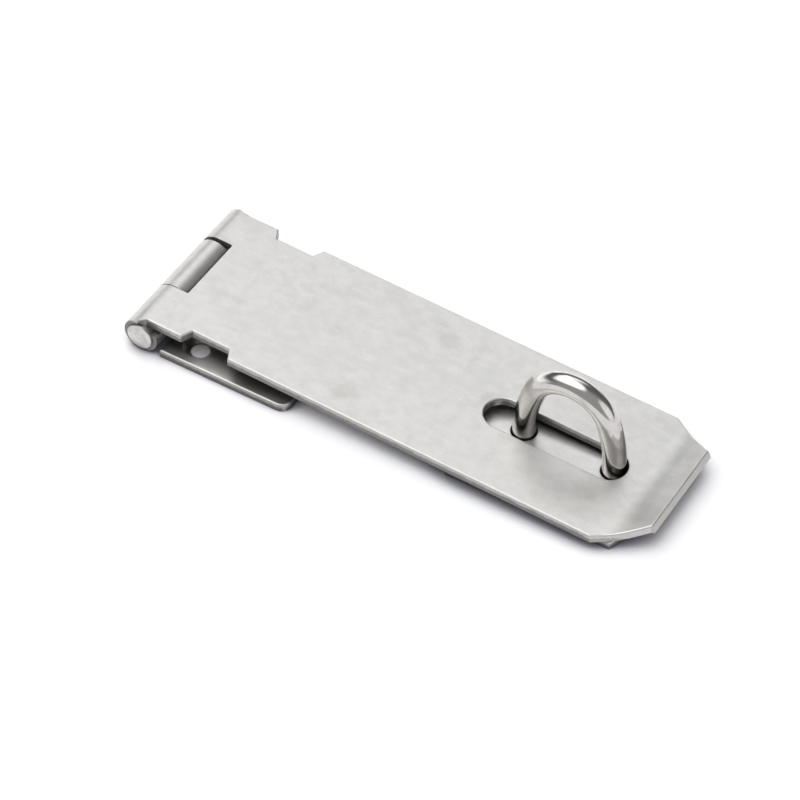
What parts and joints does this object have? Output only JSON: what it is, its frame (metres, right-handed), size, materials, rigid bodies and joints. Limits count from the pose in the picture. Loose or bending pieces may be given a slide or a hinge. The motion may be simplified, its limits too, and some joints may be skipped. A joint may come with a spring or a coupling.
{
  "type": "hasp and staple",
  "caption": "Slotted hasp strap hinged to a screw-on leaf, closed over a polished wire staple on its plate, for a padlock.",
  "frame": {"origin": "on the mounting plane, under the middle of the closed hasp", "axes": "+X from the hinge towards the strap's free end, +Z out of the door, +Y across the strap"},
  "size_m": [0.1266, 0.0428, 0.0245],
  "materials": {
    "strap_steel": "satin, brushed along its length",
    "leaf_steel": "satin",
    "pin_steel": "turned, hammered ends",
    "bow_steel": "mirror polished stainless steel",
    "plate_steel": "satin"
  },
  "bodies": {
    "mounted": {"hinge_leaf": "leaf_steel", "hinge_pin": "pin_steel", "staple_bow": "bow_steel", "staple_plate": "plate_steel"},
    "hasp": {"hasp_strap": "strap_steel"}
  },
  "joints": [
    {"name": "hasp_hinge", "type": "hinge", "parent": "mounted", "child": "hasp", "pos_m": [-0.05908, 0.0005, 0.0042], "axis": [0, -1, 0], "range_deg": [0, 180]}
  ]
}
